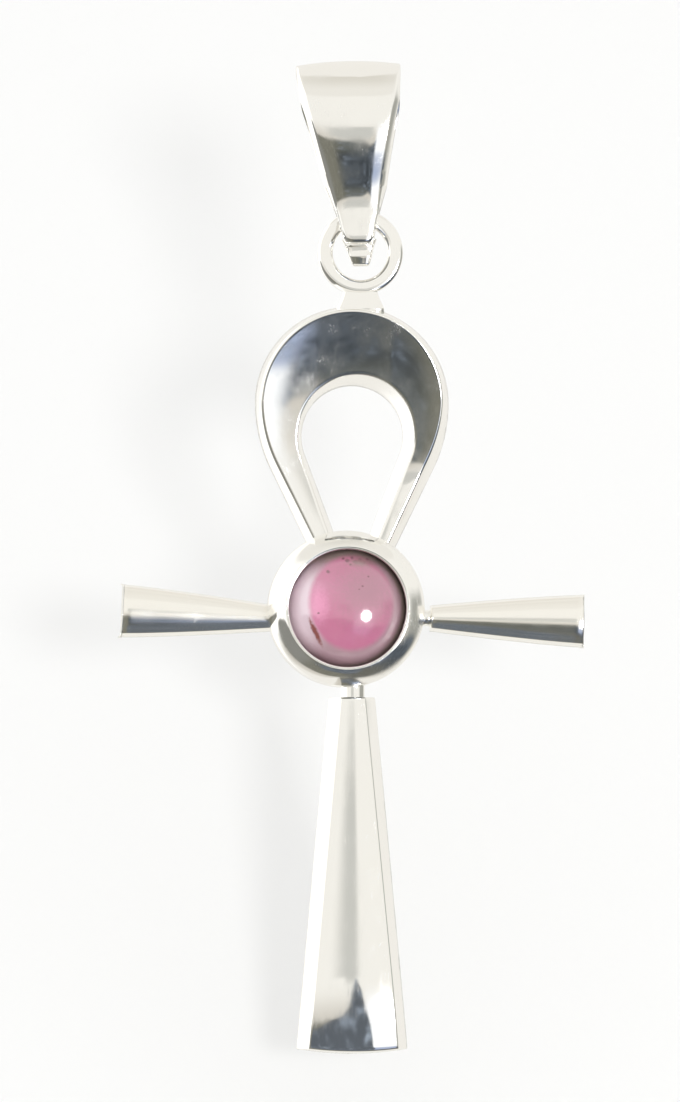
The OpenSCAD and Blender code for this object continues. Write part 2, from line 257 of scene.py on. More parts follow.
def strap_line():
    """Inside line of the strap seen from the side: forward, up, and its way to the outside."""
    line = []
    leaf = BAIL_INNER_H - BAIL_HEAD_R - BEND_H
    bend_z = BEND_H - BAIL_INNER_H
    ease = BAIL_HEAD_R - BAIL_FOOT_R

    def leaf_point(s, front):
        tilt = math.atan(ease * math.pi / 2 / leaf * math.sin(math.pi * s))
        forward = BAIL_FOOT_R + ease * (1 + math.cos(math.pi * s)) / 2
        return front * forward, -BAIL_HEAD_R - s * leaf, front * math.cos(tilt), -math.sin(tilt)

    # The bend at the foot is half an ellipse squared up by a power, more so on its outside
    def bend_point(a, r, h, power):
        c, s = math.cos(a), math.sin(a)
        return (math.copysign(r * abs(c) ** (2 / power), c), bend_z - h * abs(s) ** (2 / power))

    for i in range(HEAD_STEPS):
        a = math.pi * i / HEAD_STEPS
        line.append((-BAIL_HEAD_R * math.cos(a), BAIL_HEAD_R * (math.sin(a) - 1),
                     -math.cos(a), math.sin(a)))
    line += [leaf_point(i / LEAF_STEPS, 1) for i in range(LEAF_STEPS)]
    for i in range(2 * BEND_STEPS + 1):
        # The steps are closer together where the bend's corners are
        s = i / BEND_STEPS - 1
        a = math.pi / 2 * (1 + math.copysign(abs(s) ** BEND_STEP_POWER, s))
        f, u = bend_point(a, BAIL_FOOT_R, BEND_H, BEND_INSIDE)
        outer_f, outer_u = bend_point(a, BAIL_FOOT_R + STRAP_T, BEND_H + STRAP_T, BEND_OUTSIDE)
        line.append((f, u, (outer_f - f) / STRAP_T, (outer_u - u) / STRAP_T))
    line += [leaf_point(i / LEAF_STEPS, -1) for i in range(LEAF_STEPS - 1, 0, -1)]
    return line


def strap_row(forward, up, way_forward, way_up):
    """One row round the strap: its crowned face, its leaning sides and its flat inside."""
    middle = BAIL_SKEW * (HINGE_Z - up)

    def at(x, t):
        return (middle + x, -(forward + t * way_forward), up + t * way_up)

    outer_up = up + STRAP_T * way_up
    share = (outer_up + BAIL_INNER_H + STRAP_T) / (BAIL_INNER_H + 2 * STRAP_T)
    half = lerp(STRAP_FOOT_W, STRAP_TOP_W, share) / 2
    fade = clamp01(-up / STRAP_FADE) * clamp01((up + BAIL_INNER_H - STRAP_FADE_FOOT) / STRAP_FADE)
    back = half + STRAP_DRAFT * fade
    power = lerp(CROWN_POWER_FOOT, CROWN_POWER_HEAD, clamp01(share * 2 - 1))
    face = []
    for i in range(2 * FACE_HALF_STEPS + 1):
        s = i / FACE_HALF_STEPS - 1
        face.append(at(s * half, STRAP_T - STRAP_CROWN * abs(s) ** power))
    inside = [at((1 - i / INSIDE_HALF_STEPS) * back, 0) for i in range(2 * INSIDE_HALF_STEPS + 1)]
    side, wall = (STRAP_T - STRAP_CROWN) / 2, (half + back) / 2
    return [*face, at(wall, side), *inside, at(-wall, side)]


bail = lay_skin("bail_strap", [strap_row(*point) for point in strap_line()], endless=True)
lean_in_ring = (
    Matrix.Translation(Vector((RING_SHIFT, 0, HINGE_Z)) * MM)
    @ Matrix.Rotation(-BAIL_TURN, 4, "Z")
    @ Matrix.Rotation(-BAIL_LEAN, 4, "Y")
    @ Matrix.Translation(Vector((BAIL_SHIFT, 0, -HINGE_Z)) * MM)
)
bail.data.transform(lean_in_ring)
soften(bail, BAIL_BUFF, angle=35)
fix_piece(bail, "bail", "bail",
          polished_silver("bail silver", waves=1.0, haze=1.3, buffing=0.06))


# Tab of the bail: the strap's two ends, pressed together below the ring, soldered and filed
# to a short blunt tip. The solder shows as a low ridge across it and a pit above.
TAB_TOP_W = 1.16
TAB_TIP_W = 0.7
TAB_LEN = 0.75
TAB_ROWS = (
    # share down the tab, width over its own taper, depth
    (-0.45, 1.05, 0.62), (-0.1, 1.0, 0.62), (0.08, 1.0, 0.60), (0.3, 1.0, 0.56),
    (0.42, 1.02, 0.60), (0.5, 1.02, 0.60), (0.6, 1.0, 0.54), (0.85, 1.0, 0.5),
    (0.96, 0.94, 0.44), (1.0, 0.8, 0.32),
)


def rounded_row(cx, z, width, depth, points=24, power=4.0):
    """A level row round a rounded block: a circle squared up by a power."""
    row = []
    for i in range(points):
        a = 2 * math.pi * i / points
        c, s = math.cos(a), math.sin(a)
        x = math.copysign(abs(c) ** (2 / power), c) * width / 2
        y = math.copysign(abs(s) ** (2 / power), s) * depth / 2
        row.append((cx + x, y, z))
    return row


tab_top = -BAIL_INNER_H - STRAP_T
tab = lay_skin("bail_tab", [
    rounded_row(BAIL_SKEW * (HINGE_Z - tab_top + share * TAB_LEN), tab_top - share * TAB_LEN,
                lerp(TAB_TOP_W, TAB_TIP_W, share) * swell, depth)
    for share, swell, depth in TAB_ROWS
])
tab.data.transform(lean_in_ring)
soften(tab, 0)
fix_piece(tab, "bail", "bail",
          polished_silver("tab silver", waves=2.5, hairlines=1.5, haze=1.0))


# Ring at the head of the drop: squared silver wire bent round, soldered shut and filed
# flat on its front and back. It turns in the bail's foot.
RING_OD = 3.5
RING_ROUND = 0.2
RING_R = (RING_OD - RING_T) / 2
RING_Z = HINGE_Z - RING_R
RING_STEPS = 128


def spin_piece(name, outline, centre, steps):
    """A turned piece: a closed outline of (radius, forward) points spun about an axis along Y."""
    bpy.ops.object.select_all(action="DESELECT")
    mesh = bpy.data.meshes.new(name)
    points = [((centre[0] + r) * MM, (centre[1] - f) * MM, centre[2] * MM) for r, f in outline]
    mesh.from_pydata(points, [(i, (i + 1) % len(points)) for i in range(len(points))], [])
    piece = bpy.data.objects.new(name, mesh)
    bpy.context.scene.collection.objects.link(piece)
    piece.select_set(True)
    bpy.context.view_layer.objects.active = piece
    bpy.ops.object.mode_set(mode="EDIT")
    bpy.ops.mesh.select_all(action="SELECT")
    bpy.ops.mesh.spin(steps=steps, angle=2 * math.pi, axis=(0, 1, 0),
                      center=[c * MM for c in centre])
    bpy.ops.mesh.select_all(action="SELECT")
    bpy.ops.mesh.remove_doubles(threshold=1e-7)
    bpy.ops.mesh.normals_make_consistent(inside=False)
    bpy.ops.object.mode_set(mode="OBJECT")
    return piece


def arc_points(cx, cy, r, a0, a1, steps):
    """Points on an arc, angles in degrees."""
    return [
        (cx + r * math.cos(math.radians(lerp(a0, a1, i / steps))),
         cy + r * math.sin(math.radians(lerp(a0, a1, i / steps))))
        for i in range(steps + 1)
    ]


wire_half = RING_T / 2 - RING_ROUND
wire_outline = []
for across, forward, corner in ((1, 1, 0), (-1, 1, 90), (-1, -1, 180), (1, -1, 270)):
    wire_outline += arc_points(RING_R + across * wire_half, forward * wire_half, RING_ROUND,
                               corner, corner + 90, 5)
ring = spin_piece("hanging_ring", wire_outline, (RING_SHIFT, 0, RING_Z), RING_STEPS)
soften(ring, 0)
fix_piece(ring, "drop", "ankh",
          polished_silver("ring silver", waves=1.6, hairlines=1.2, haze=0.6))


# Solder pad under the ring: a low block of silver solder that was filed to meet the
# ring's outside and the loop's top edge.
PAD_H = 0.4
LOOP_TOP_Z = RING_Z - RING_OD / 2 - PAD_H
PAD_ROWS = (
    # height over the loop's top, width, depth
    (-0.35, 2.0, 0.7), (-0.12, 1.95, 0.7), (-0.02, 1.86, 0.66), (0.1, 1.74, 0.62),
    (0.25, 1.6, 0.58), (0.38, 1.5, 0.56), (0.5, 1.44, 0.54), (0.58, 1.4, 0.5),
)
pad = lay_skin("solder_pad", [
    rounded_row(RING_SHIFT, LOOP_TOP_Z + h, w, d, points=40, power=3.2) for h, w, d in PAD_ROWS
])
soften(pad, 0)
fix_piece(pad, "drop", "ankh", polished_silver("solder silver", waves=2.5, haze=1.2))


# Loop of the ankh: a flat-backed casting whose face leans forward towards its top, with
# walls that lean in from a mould. Its legs run into the cup and are soldered there.
BACK_Y = 0.95
LOOP_W = 8.0
LOOP_TOP_H = 3.3
HOLE_W = 4.14
LOOP_SIDE_R = 6.2
LEG_OUTER_LEAN = math.radians(26)
LEG_INNER_LEAN = math.radians(20.5)
LOOP_TO_CUP = 8.5
LOOP_TOP_DEPTH = 3.0
LOOP_LEG_DEPTH = 1.3
LOOP_FLARE = 2.6
LOOP_CROWN = 0.01
LOOP_DISH = 0.09
RAMP_LEN = 6.9
RAMP_BLEND_W = 3.0
LOOP_DRAFT = 0.32
LOOP_SKEW = 0.14
LEG_END = 1.1
EDGE_R = 0.12
LOOP_BUFF = 0.06
LOOP_Z = LOOP_TOP_Z - LOOP_W / 2
HOLE_Z = LOOP_TOP_Z - LOOP_TOP_H - HOLE_W / 2
CUP_Z = LOOP_Z - LOOP_TO_CUP
FACE_STEPS = 28
EDGE_STEPS = 5
WALL_STEPS = 3


def bar_row(back_w, depth, drafts, crown, dish=0.0):
    """One slice of a cast bar as (across, forward): walls, rounded edges and a crowned face,
    then as many points along the flat back. A dish lifts the face towards its far edge."""
    half = back_w / 2
    low, high = drafts[0] + EDGE_R - half, half - drafts[1] - EDGE_R
    face = (high - low) / 2
    wall = depth - EDGE_R
    rim = wall + 2 * face * dish
    # The rounded edges take over from the face at the slope that it has there
    slope = math.degrees(math.atan(4 * crown))
    rim_slope = math.degrees(math.atan(4 * crown - 2 * dish))

    def side_wall(draft, top):
        shares = (i / WALL_STEPS for i in range(WALL_STEPS))
        return [(draft * top / depth * t, top * t) for t in shares]

    front = [(x - half, f) for x, f in side_wall(drafts[0], wall)]
    lean = math.degrees(math.atan(drafts[0] / depth))
    for i in range(EDGE_STEPS):
        a = math.radians(lerp(180 - lean, 90 + slope, i / EDGE_STEPS))
        front.append((low + EDGE_R * math.cos(a), wall + EDGE_R * math.sin(a)))
    for i in range(FACE_STEPS + 1):
        s = 2 * i / FACE_STEPS - 1
        rise = crown * (1 - s * s) + dish * ((1 + s) / 2) ** 2
        front.append(((low + high) / 2 + s * face, depth + 2 * face * rise))
    lean = math.degrees(math.atan(drafts[1] / depth))
    for i in range(1, EDGE_STEPS + 1):
        a = math.radians(lerp(90 - rim_slope, lean, i / EDGE_STEPS))
        front.append((high + EDGE_R * math.cos(a), rim + EDGE_R * math.sin(a)))
    front += [(half - x, f) for x, f in reversed(side_wall(drafts[1], rim))]
    back = [(x, 0.0) for x, _ in reversed(front[1:-1])]
    return front + back


def loop_depth(x, z):
    """The casting's depth: it grows in a curve towards the top on the left, evenly on the right."""
    curved = clamp01((z - CUP_Z) / (LOOP_TOP_Z - CUP_Z)) ** LOOP_FLARE
    even = clamp01(1 - (LOOP_TOP_Z - z) / RAMP_LEN)
    return lerp(LOOP_LEG_DEPTH, LOOP_TOP_DEPTH, lerp(curved, even, clamp01(0.5 + x / RAMP_BLEND_W)))


def loop_side(leg, turn, lean, narrow_r, wide_r, half_w, centre_z):
    """A point on one side of the loop's right half; leg runs down the straight, turn to the top."""
    a = lerp(-lean, math.pi / 2, turn)
    r = narrow_r if a < 0 else wide_r
    x, z = half_w - r + r * math.cos(a), centre_z + r * math.sin(a)
    run = leg * (z - (CUP_Z + LEG_END))
    return Vector((x - run * math.tan(lean), z - run))


def loop_row(leg, turn, side):
    """One slice of the loop, placed on its right half and mirrored where side is -1."""
    outer = loop_side(leg, turn, LEG_OUTER_LEAN, LOOP_SIDE_R, LOOP_W / 2, LOOP_W / 2, LOOP_Z)
    inner = loop_side(leg, turn, LEG_INNER_LEAN, HOLE_W / 2, HOLE_W / 2, HOLE_W / 2, HOLE_Z)
    middle, along = (outer + inner) / 2, (outer - inner).normalized()
    width = (outer - inner).length
    depth = loop_depth(side * middle.x, middle.y)
    draft = LOOP_DRAFT + side * LOOP_SKEW * 2 * middle.x / LOOP_W
    row = []
    for across, forward in bar_row(width, depth, (draft, draft), LOOP_CROWN, LOOP_DISH):
        place = middle + along * across
        x, z = side * place.x, place.y
        row.append((x, BACK_Y - forward * loop_depth(x, z) / depth, z))
    return row


LEG_ROWS = 14
TURN_ROWS = 56
half_loop = [(1 - i / LEG_ROWS, 0) for i in range(LEG_ROWS)]
half_loop += [(0, i / TURN_ROWS) for i in range(TURN_ROWS + 1)]
loop = lay_skin("loop", [loop_row(leg, turn, -1) for leg, turn in half_loop]
                + [loop_row(leg, turn, 1) for leg, turn in reversed(half_loop[:-1])])
soften(loop, LOOP_BUFF)
fix_piece(loop, "drop", "ankh",
          polished_silver("loop silver", waves=0.9, hairlines=0.6, haze=1.3, buffing=0.07))


# Cup: a turned silver collet, soldered to the loop, the arms and the shaft. Its thick rim
# was rounded over the stone's edge and polished.
CUP_D = 6.4
CUP_H = 3.0
CUP_FLOOR = 1.4
CUP_SHIFT = -0.3
CUP_BACK_PROUD = 0.015
CUP_FOOT_ROUND = 0.1
STONE_D = 5.0
STONE_GIRDLE_H = 0.5
STONE_GAP = 0.05
RIM_BELOW_GIRDLE = 0.15
RIM_STOP = 3
LIP_OVER = 0.1
LIP_IN = 0.05
LIP_DOWN = 0.1
LIP_ROUND = 0.06
UNDERCUT_TOP = 0.3
UNDERCUT_FOOT = 0.08
CUP_STEPS = 160
cup_r = CUP_D / 2
lip_r = STONE_D / 2 - LIP_OVER
girdle_top = CUP_FLOOR + STONE_GIRDLE_H
rim_start = girdle_top - RIM_BELOW_GIRDLE
rim_w, rim_h = cup_r - lip_r, CUP_H - rim_start
rim_r = (rim_w ** 2 + rim_h ** 2) / (2 * rim_w)
rim_turn = math.degrees(math.asin(rim_h / rim_r))
pocket_r = STONE_D / 2 + STONE_GAP
pocket_floor = CUP_FLOOR - STONE_GAP
cup_outline = [
    # radius and height over the back: the foot, the wall, the rim, the lip, then the pocket
    (0.0, -CUP_BACK_PROUD),
    *arc_points(cup_r - CUP_FOOT_ROUND, CUP_FOOT_ROUND - CUP_BACK_PROUD, CUP_FOOT_ROUND, -90, 0, 4),
    (cup_r, rim_start * 0.3), (cup_r, rim_start * 0.6),
    *arc_points(cup_r - rim_r, rim_start, rim_r, 0, rim_turn - RIM_STOP, 22),
    *arc_points(lip_r + LIP_IN, CUP_H - LIP_DOWN, LIP_ROUND, 60, 180, 5),
    (lip_r, girdle_top + UNDERCUT_TOP), (pocket_r, girdle_top + UNDERCUT_FOOT),
    (pocket_r, pocket_floor), (0.0, pocket_floor),
]
cup = spin_piece("cup", [(r, f - BACK_Y) for r, f in cup_outline], (CUP_SHIFT, 0, CUP_Z), CUP_STEPS)
soften(cup, 0)
fix_piece(cup, "drop", "ankh",
          polished_silver("cup silver", waves=2.4, hairlines=0.8, haze=1.5, buffing=0.08))


# Cabochon: a round purple-pink garnet with a domed top and a flat base, polished all over.
# It sits on the cup's floor under the lip. Dark specks and a brown needle lie inside it, and
# painted shade and a painted reflection are laid into its colour.
GARNET = (0.74, 0.17, 0.36)
GARNET_PALE = (0.80, 0.34, 0.49)
GARNET_BRIGHT = (1.0, 0.36, 0.60)
GARNET_PAINTED_SHADE = (0.58, 0.27, 0.36)
GARNET_DULL = (0.60, 0.39, 0.45)
GARNET_PAINTED_SHADE_EDGE = (0.44, 0.34, 0.31)
GARNET_PAINTED_REFLECTION = (1.0, 0.80, 0.89)
SPECK_DARK = (0.36, 0.15, 0.20)
SPECK_HAZE = (0.44, 0.25, 0.27)
NEEDLE_BROWN = (0.32, 0.08, 0.07)
SPECK_SQUASH = 0.8
SPECKS = (
    # x, z and radius of each dark speck
    (-0.48, -19.93, 0.06), (-0.33, -20.02, 0.09), (-0.12, -19.9, 0.07), (0.02, -20.06, 0.1),
    (0.2, -19.98, 0.08), (0.36, -20.08, 0.07), (0.5, -19.95, 0.06), (-0.2, -20.17, 0.05),
    (-1.12, -20.47, 0.08), (0.27, -21.07, 0.05), (0.52, -20.67, 0.04), (0.13, -21.2, 0.035),
    (-1.52, -22.17, 0.045),
)
STONE_DOME_H = 2.0
STONE_BUFF = 0.06
dome_r = ((STONE_D / 2) ** 2 + STONE_DOME_H ** 2) / (2 * STONE_DOME_H)
girdle_y = BACK_Y - CUP_FLOOR - STONE_GIRDLE_H
bpy.ops.object.select_all(action="DESELECT")
bpy.ops.mesh.primitive_uv_sphere_add(
    segments=128, ring_count=96, radius=dome_r * MM, rotation=(math.pi / 2, 0, 0),
    location=Vector((CUP_SHIFT, girdle_y - STONE_DOME_H + dome_r, CUP_Z)) * MM)
bpy.ops.object.transform_apply(location=True, rotation=True, scale=True)
stone = bpy.context.object
stone.name = stone.data.name = "cabochon_stone"
bpy.ops.object.mode_set(mode="EDIT")
bpy.ops.mesh.select_all(action="SELECT")
bpy.ops.mesh.bisect(plane_co=Vector((CUP_SHIFT, girdle_y, CUP_Z)) * MM, plane_no=(0, 1, 0),
                    clear_outer=True, use_fill=False)
bpy.ops.mesh.select_all(action="DESELECT")
bpy.ops.mesh.select_non_manifold()
bpy.ops.mesh.extrude_region_move(TRANSFORM_OT_translate={"value": (0, STONE_GIRDLE_H * MM, 0)})
bpy.ops.mesh.edge_face_add()
bpy.ops.mesh.select_all(action="SELECT")
bpy.ops.mesh.remove_doubles(threshold=1e-8)
bpy.ops.mesh.normals_make_consistent(inside=False)
bpy.ops.object.mode_set(mode="OBJECT")
soften(stone, STONE_BUFF, angle=30)

garnet = bpy.data.materials.new("garnet")
garnet.use_nodes = True
nodes, link = garnet.node_tree.nodes, garnet.node_tree.links.new
shader = nodes["Principled BSDF"]
shader.inputs["Transmission Weight"].default_value = 0.25
shader.inputs["IOR"].default_value = 1.74
shader.inputs["Roughness"].default_value = 0.14
shader.inputs["Coat Weight"].default_value = 1.0
shader.inputs["Coat Roughness"].default_value = 0.015
shader.inputs["Coat IOR"].default_value = 1.6
place = nodes.new("ShaderNodeTexCoord").outputs["Object"]


def stone_speck(x, z, rx, rz, turn=0.0, soft=0.5, ragged=1.0):
    """Mask of an ellipse with ragged edges, at millimetres seen from the front."""
    spot = nodes.new("ShaderNodeMapping")
    spot.vector_type = "TEXTURE"
    link(place, spot.inputs["Vector"])
    spot.inputs["Location"].default_value = (x * MM, 0, z * MM)
    spot.inputs["Rotation"].default_value = (0, math.radians(turn), 0)
    spot.inputs["Scale"].default_value = (rx * MM, 1, rz * MM)
    fringe = nodes.new("ShaderNodeTexNoise")
    link(place, fringe.inputs["Vector"])
    fringe.inputs["Scale"].default_value = 9000
    length = nodes.new("ShaderNodeVectorMath")
    length.operation = "LENGTH"
    link(spot.outputs[0], length.inputs[0])
    reach = nodes.new("ShaderNodeMath")
    reach.operation = "MULTIPLY_ADD"
    link(fringe.outputs["Fac"], reach.inputs[0])
    reach.inputs[1].default_value = ragged
    link(length.outputs["Value"], reach.inputs[2])
    mask = nodes.new("ShaderNodeMapRange")
    mask.interpolation_type = "SMOOTHSTEP"
    link(reach.outputs[0], mask.inputs["Value"])
    mask.inputs["From Min"].default_value = 1 + ragged / 2 + soft
    mask.inputs["From Max"].default_value = 1 + ragged / 2 - soft
    return mask.outputs["Result"]


def tint(under, mask, color):
    """A colour laid over another one where the mask is set."""
    mix = nodes.new("ShaderNodeMix")
    mix.data_type = "RGBA"
    link(mask, mix.inputs["Factor"])
    for socket, value in ((mix.inputs["A"], under), (mix.inputs["B"], color)):
        if isinstance(value, tuple):
            socket.default_value = (*value, 1)
        else:
            link(value, socket)
    return mix.outputs["Result"]


cloud = nodes.new("ShaderNodeTexNoise")
link(place, cloud.inputs["Vector"])
cloud.inputs["Scale"].default_value = 700
cloud.inputs["Detail"].default_value = 4
body = tint(GARNET, cloud.outputs["Fac"], GARNET_PALE)
# Painted shade: the stone's body is darkened over its upper right, where shade falls
painted_shade = stone_speck(CUP_SHIFT + 0.8, CUP_Z + 0.6, 1.2, 1.1, soft=0.9)
body = tint(body, painted_shade, GARNET_PAINTED_SHADE)
bright = stone_speck(CUP_SHIFT - 1.2, CUP_Z + 0.1, 0.3, 0.6, soft=0.9)
body = tint(body, bright, GARNET_BRIGHT)
# The band round the body is painted light and shade, as a mirror of the girdle: a painted
# reflection pale on the left, dull below, and painted shade above
painted_reflection_left = stone_speck(CUP_SHIFT - 2.0, CUP_Z + 0.1, 1.0, 1.8, soft=0.6, ragged=0.2)
painted_edge_band = tint(GARNET_DULL, painted_reflection_left, GARNET_PAINTED_REFLECTION)
painted_edge_band = tint(painted_edge_band, stone_speck(CUP_SHIFT + 0.3, CUP_Z + 2.2, 1.7, 0.4, soft=0.6), GARNET_PAINTED_SHADE_EDGE)
inner = stone_speck(CUP_SHIFT + 0.13, CUP_Z + 0.2, 1.72, 1.92, soft=0.08, ragged=0.05)
body = tint(painted_edge_band, inner, body)
for x, z, r in SPECKS:
    body = tint(body, stone_speck(x, z, r, r * SPECK_SQUASH), SPECK_DARK)
body = tint(body, stone_speck(0.25, -20.08, 0.42, 0.16, soft=1.0, ragged=0.6), SPECK_HAZE)
body = tint(body, stone_speck(-1.63, -22.93, 0.09, 0.52, turn=-26), NEEDLE_BROWN)
# Painted shade: a dark ring round the stone's edge, where the lip shades it
rim = stone_speck(CUP_SHIFT - 0.1, CUP_Z - 0.02, 2.3, 2.3, soft=0.035, ragged=0.05)
body = tint(GARNET_PAINTED_SHADE_EDGE, rim, body)
link(body, shader.inputs["Base Color"])
fix_piece(stone, "drop", "cabochon", garnet)


# Arms: two flared castings with a strongly rounded face, left and right of the cup. Each
# joins it by a short neck of solder, and neither is quite level.
ARM_SPAN = 19.0
ARM_ROOT_H = 0.85
ARM_TIP_H = 1.95
ARM_FLARE = 1.25
ARM_ROOT_DEPTH = 1.1
ARM_TIP_DEPTH = 1.5
TIP_ROLL = 0.13
TIP_ROLL_FROM = 0.94
ARM_CROWN = 0.19
ARM_DRAFT = 0.12
ARM_DROP = 0.35
ARM_SILVER = (1.0, 0.985, 0.95)
ARM_BUFF = 0.08
ARM_ROWS = 40
ARM_ROW_POWER = 1.6
ARM_RISES = (("right_arm", 1, -1.0), ("left_arm", -1, 2.75))
NECK_H = 0.66
NECK_FLARE = 0.45
NECK_IN_CUP = 0.45
NECK_IN_ARM = 0.06
NECK_STEPS = 12
NECK_POINTS = 32
arm_root_x = CUP_D / 2
arm_len = ARM_SPAN / 2 - arm_root_x


def arm_row(t):
    """One slice of an arm, a share t of the way from its root to its tip."""
    height = lerp(ARM_ROOT_H, ARM_TIP_H, 1 - (1 - t) ** ARM_FLARE)
    roll = TIP_ROLL * clamp01((t - TIP_ROLL_FROM) / (1 - TIP_ROLL_FROM)) ** 2
    depth = lerp(ARM_ROOT_DEPTH, ARM_TIP_DEPTH, t) - roll
    lean = ARM_DRAFT if t == 1 else 0
    return [(t * arm_len - lean * f / depth, BACK_Y - f, a)
            for a, f in bar_row(height + 2 * ARM_DRAFT, depth, (ARM_DRAFT, ARM_DRAFT), ARM_CROWN)]


def circle(radius, points):
    """Points on a circle."""
    turns = (2 * math.pi * i / points for i in range(points))
    return [(radius * math.cos(a), radius * math.sin(a)) for a in turns]


def neck_shares():
    """Shares along a neck, each with how far the neck flares there towards its nearer end."""
    return [(i / NECK_STEPS, abs(2 * i / NECK_STEPS - 1) ** 3) for i in range(NECK_STEPS + 1)]


for name, side, rise in ARM_RISES:
    placed = (
        Matrix.Scale(side, 4, (1, 0, 0))
        @ Matrix.Translation(Vector((arm_root_x, 0, CUP_Z - ARM_DROP)) * MM)
        @ Matrix.Rotation(-math.radians(rise), 4, "Y")
    )
    # The rows are closer together towards the tip, where the face rolls back
    arm = lay_skin(name, [arm_row(1 - (1 - i / ARM_ROWS) ** ARM_ROW_POWER)
                          for i in range(ARM_ROWS + 1)])
    neck_rows = []
    for t, flare in neck_shares():
        x = lerp(-NECK_IN_CUP, NECK_IN_ARM, t)
        outline = circle(NECK_H / 2 * (1 + NECK_FLARE * flare), NECK_POINTS)
        neck_rows.append([(x, BACK_Y - ARM_ROOT_DEPTH / 2 - s, c) for c, s in outline])
    neck = lay_skin(name + "_neck", neck_rows)
    for piece, buff in ((arm, ARM_BUFF), (neck, 0)):
        piece.data.transform(placed)
        if side < 0:
            piece.data.flip_normals()
        soften(piece, buff)
    title = name.replace("_", " ")
    fix_piece(arm, "drop", "ankh",
              polished_silver(title + " silver", waves=0.6, hairlines=0.25, haze=0.6, buffing=0.16,
                              silver=ARM_SILVER))
    fix_piece(neck, "drop", "ankh",
              polished_silver(title + " solder", waves=2.0, haze=1.2))


# Shaft: the flared foot of the ankh. Its nearly flat face widens and thickens downwards and
# rolls back near the foot, whose edge is slightly bowed. A short neck joins it to the cup.
SHAFT_LEN = 14.3
SHAFT_TOP_W = 1.05
SHAFT_FOOT_W = 3.7
SHAFT_TOP_DEPTH = 1.2
SHAFT_FOOT_DEPTH = 2.2
SHAFT_CROWN = 0.08
SHAFT_DRAFT = 0.45
FOOT_ROLL = 0.6
ROLL_LEN = 3.0
FOOT_BOW = 0.2
FOOT_BOW_FROM = 0.9
SHAFT_NECK = 0.4
SHAFT_NECK_WIDE = 1.02
SHAFT_NECK_FLARE = 0.015
SHAFT_NECK_IN_CUP = 0.12
SHAFT_NECK_IN_SHAFT = 0.05
SHAFT_NECK_POINTS = 36
SHAFT_BUFF = 0.08
SHAFT_ROWS = 90
shaft_top_z = CUP_Z - CUP_D / 2 - SHAFT_NECK


def shaft_row(t):
    """One slice of the shaft, a share t of the way down from its top."""
    roll_from = 1 - ROLL_LEN / SHAFT_LEN
    roll = clamp01((t - roll_from) / (1 - roll_from)) ** 2
    back_w = lerp(SHAFT_TOP_W, SHAFT_FOOT_W, t) + 2 * SHAFT_DRAFT
    depth = lerp(SHAFT_TOP_DEPTH, SHAFT_FOOT_DEPTH, t) - FOOT_ROLL * roll
    z = shaft_top_z - t * SHAFT_LEN
    low = clamp01((t - FOOT_BOW_FROM) / (1 - FOOT_BOW_FROM)) ** 2
    row = []
    for across, forward in bar_row(back_w, depth, (SHAFT_DRAFT, SHAFT_DRAFT), SHAFT_CROWN):
        bow = FOOT_BOW * (1 - (2 * across / back_w) ** 2) + ARM_DRAFT * (1 - forward / depth)
        row.append((across, BACK_Y - forward, z - bow * low))
    return row


shaft = lay_skin("shaft", [shaft_row(i / SHAFT_ROWS) for i in range(SHAFT_ROWS + 1)])
soften(shaft, SHAFT_BUFF)
fix_piece(shaft, "drop", "ankh",
          polished_silver("shaft silver", waves=0.35, hairlines=0.8, haze=0.6, buffing=0.07))

neck_r = SHAFT_TOP_DEPTH / 2 - EDGE_R
neck_rows = []
for t, flare in neck_shares():
    z = lerp(shaft_top_z - SHAFT_NECK_IN_SHAFT, CUP_Z - CUP_D / 2 + SHAFT_NECK_IN_CUP, t)
    outline = circle(neck_r * (SHAFT_NECK_WIDE + SHAFT_NECK_FLARE * flare), SHAFT_NECK_POINTS)
    neck_rows.append([(c, BACK_Y - SHAFT_TOP_DEPTH / 2 + s, z) for c, s in outline])
shaft_neck = lay_skin("shaft_neck", neck_rows)
soften(shaft_neck, 0)
fix_piece(shaft_neck, "drop", "ankh",
          polished_silver("shaft solder", waves=2.0, haze=1.0))


# Studio: a pale sweep below the pendant and leaning away behind it, a soft lamp beside the
# camera that throws the faint shadow, and a soft sky whose lower part in front is dark.
FLOOR_Z = -50.0
WALL_FOOT_Y = 1.4
WALL_LEAN = math.atan(0.84)
SWEEP_R = 16.0
SWEEP_FAR = 1500.0
SWEEP_STEPS = 16
PAPER = (0.93, 0.93, 0.925)
sweep_turn = math.pi / 2 - WALL_LEAN
sweep_y = WALL_FOOT_Y - SWEEP_R * math.tan(sweep_turn / 2)
sweep_line = [(-SWEEP_FAR, FLOOR_Z)]
for i in range(SWEEP_STEPS + 1):
    a = sweep_turn * i / SWEEP_STEPS
    sweep_line.append((sweep_y + SWEEP_R * math.sin(a), FLOOR_Z + SWEEP_R * (1 - math.cos(a))))
sweep_line.append((sweep_line[-1][0] + SWEEP_FAR * math.sin(WALL_LEAN),
                   sweep_line[-1][1] + SWEEP_FAR * math.cos(WALL_LEAN)))
sweep_mesh = bpy.data.meshes.new("sweep")
sweep_mesh.from_pydata(
    [(x * MM, y * MM, z * MM) for x in (-SWEEP_FAR, SWEEP_FAR) for y, z in sweep_line], [],
    [(i, i + len(sweep_line), i + len(sweep_line) + 1, i + 1) for i in range(len(sweep_line) - 1)])
sweep = bpy.data.objects.new("sweep", sweep_mesh)
bpy.context.scene.collection.objects.link(sweep)
for face in sweep_mesh.polygons:
    face.use_smooth = True
sweep.visible_glossy = False
sweep.visible_transmission = False
